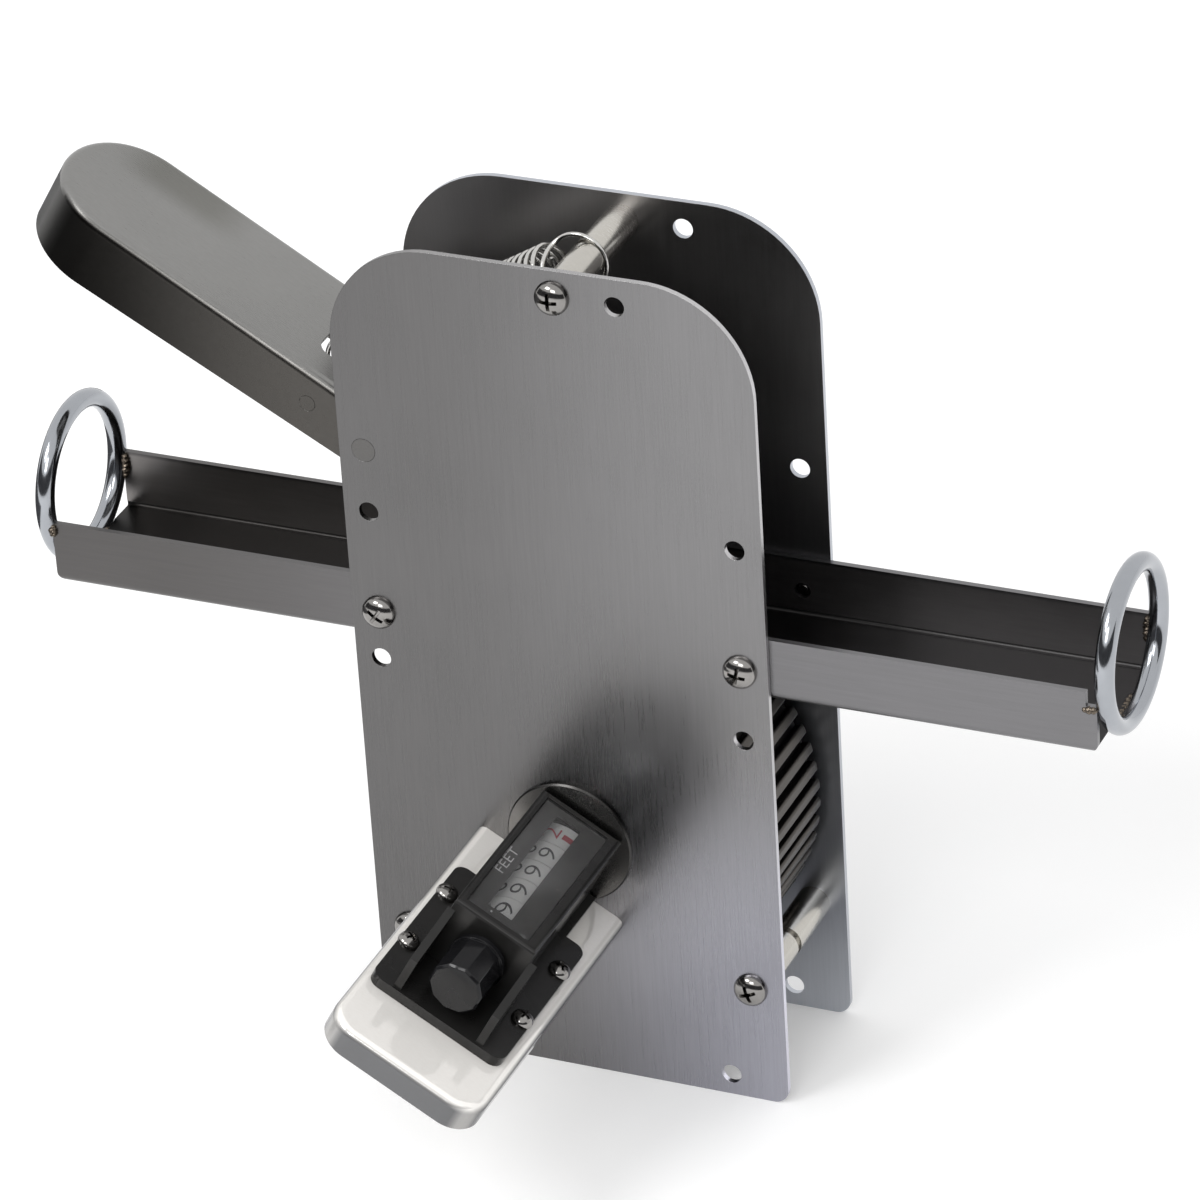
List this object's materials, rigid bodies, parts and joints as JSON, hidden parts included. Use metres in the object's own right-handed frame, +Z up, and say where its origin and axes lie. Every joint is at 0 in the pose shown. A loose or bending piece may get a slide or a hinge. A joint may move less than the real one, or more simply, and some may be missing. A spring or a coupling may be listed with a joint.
{
  "type": "cable length counter",
  "caption": "Bench counter that measures rope or cable drawn along a trough between a fluted wheel and a sprung pressure wheel, read on a tilted mechanical counter.",
  "frame": {"origin": "middle of the whole object's footprint, on the surface its two plates stand on", "axes": "+X the way the rope leaves, -Y the counter's side, +Z up"},
  "size_m": [0.2768, 0.1348, 0.2209],
  "materials": {
    "plate_steel": "satin brushed stainless sheet",
    "trough_steel": "satin stainless sheet",
    "handle_steel": "fine brushed stainless sheet",
    "shelf_steel": "polished on top, satin on the sides",
    "ring_chrome": "bright plated wire",
    "screw_chrome": "bright plated screws",
    "turned_steel": "turned bright steel",
    "spring_steel": "bright drawn wire",
    "black_steel": "black oxide",
    "bronze": "sintered bronze",
    "roller_core": "moulded black nylon",
    "roller_rubber": "matt black rubber",
    "wheel_black": "black anodised",
    "counter_black": "dark satin moulding",
    "mask_grey": "dark printed mask",
    "window_clear": "clear plastic window",
    "figure_wheel_white": "white with dark figures",
    "knob_black": "black moulding"
  },
  "bodies": {
    "frame": {"front_plate": "plate_steel", "rear_plate": "plate_steel", "guide_trough": "trough_steel", "entry_ring": "ring_chrome", "exit_ring": "ring_chrome", "top_spacer": "turned_steel", "left_foot_spacer": "turned_steel", "right_foot_spacer": "turned_steel", "front_frame_screws": "screw_chrome", "rear_frame_screws": "screw_chrome", "shaft_boss": "turned_steel", "front_bush": "bronze", "rear_bush": "bronze", "lever_pivot_pin": "turned_steel", "pivot_washers": "turned_steel", "return_spring": "spring_steel", "counter_shelf": "shelf_steel", "counter_base": "counter_black", "counter_housing": "counter_black", "counter_mask": "mask_grey", "counter_window": "window_clear", "counter_screws": "screw_chrome", "counter_nuts": "screw_chrome"},
    "handle": {"press_handle": "handle_steel", "spring_pin": "turned_steel", "pressure_wheel_axle": "turned_steel"},
    "pressure_roller": {"pressure_wheel": "roller_core", "pressure_wheel_tyre": "roller_rubber"},
    "measuring_roller": {"measuring_wheel": "wheel_black", "wheel_shaft": "turned_steel", "wheel_grub_screw": "black_steel", "shaft_clip": "black_steel", "counter_shaft": "turned_steel", "drive_pin": "turned_steel"},
    "tenths": {"tenths_wheel": "figure_wheel_white"},
    "ones": {"ones_wheel": "figure_wheel_white"},
    "tens": {"tens_wheel": "figure_wheel_white"},
    "hundreds": {"hundreds_wheel": "figure_wheel_white"},
    "thousands": {"thousands_wheel": "figure_wheel_white"},
    "reset": {"reset_knob": "knob_black", "reset_spindle": "turned_steel"}
  },
  "joints": [
    {"name": "handle_press", "type": "hinge", "parent": "frame", "child": "handle", "pos_m": [-0.0472, 0.04295, 0.1644], "axis": [0, -1, 0], "range_deg": [0, 24], "stiffness_Nm_per_rad": 0.065, "springref_deg": -91.67, "deforming": ["return_spring"]},
    {"name": "pressure_wheel_spin", "type": "hinge", "parent": "handle", "child": "pressure_roller", "pos_m": [-0.00153, 0.04295, 0.1375], "axis": [0, 1, 0], "continuous": true},
    {"name": "measuring_wheel_spin", "type": "hinge", "parent": "frame", "child": "measuring_roller", "pos_m": [0, 0.04295, 0.0652], "axis": [0, 1, 0], "continuous": true},
    {"name": "tenths_wheel_turn", "type": "hinge", "parent": "frame", "child": "tenths", "pos_m": [0, 0.04295, 0.0652], "axis": [0, 1, 0], "continuous": true},
    {"name": "ones_wheel_turn", "type": "hinge", "parent": "frame", "child": "ones", "pos_m": [0, 0.04295, 0.0652], "axis": [0, 1, 0], "continuous": true},
    {"name": "tens_wheel_turn", "type": "hinge", "parent": "frame", "child": "tens", "pos_m": [0, 0.04295, 0.0652], "axis": [0, 1, 0], "continuous": true},
    {"name": "hundreds_wheel_turn", "type": "hinge", "parent": "frame", "child": "hundreds", "pos_m": [0, 0.04295, 0.0652], "axis": [0, 1, 0], "continuous": true},
    {"name": "thousands_wheel_turn", "type": "hinge", "parent": "frame", "child": "thousands", "pos_m": [0, 0.04295, 0.0652], "axis": [0, 1, 0], "continuous": true},
    {"name": "reset_knob_turn", "type": "hinge", "parent": "frame", "child": "reset", "pos_m": [0, 0.04295, 0.0652], "axis": [0, 1, 0], "continuous": true}
  ],
  "couplings": [
    {"joint": "tenths_wheel_turn", "follows": "measuring_wheel_spin", "ratio": 1},
    {"joint": "ones_wheel_turn", "follows": "measuring_wheel_spin", "ratio": 0.1},
    {"joint": "tens_wheel_turn", "follows": "measuring_wheel_spin", "ratio": 0.01},
    {"joint": "hundreds_wheel_turn", "follows": "measuring_wheel_spin", "ratio": 0.001},
    {"joint": "thousands_wheel_turn", "follows": "measuring_wheel_spin", "ratio": 0.0001}
  ]
}
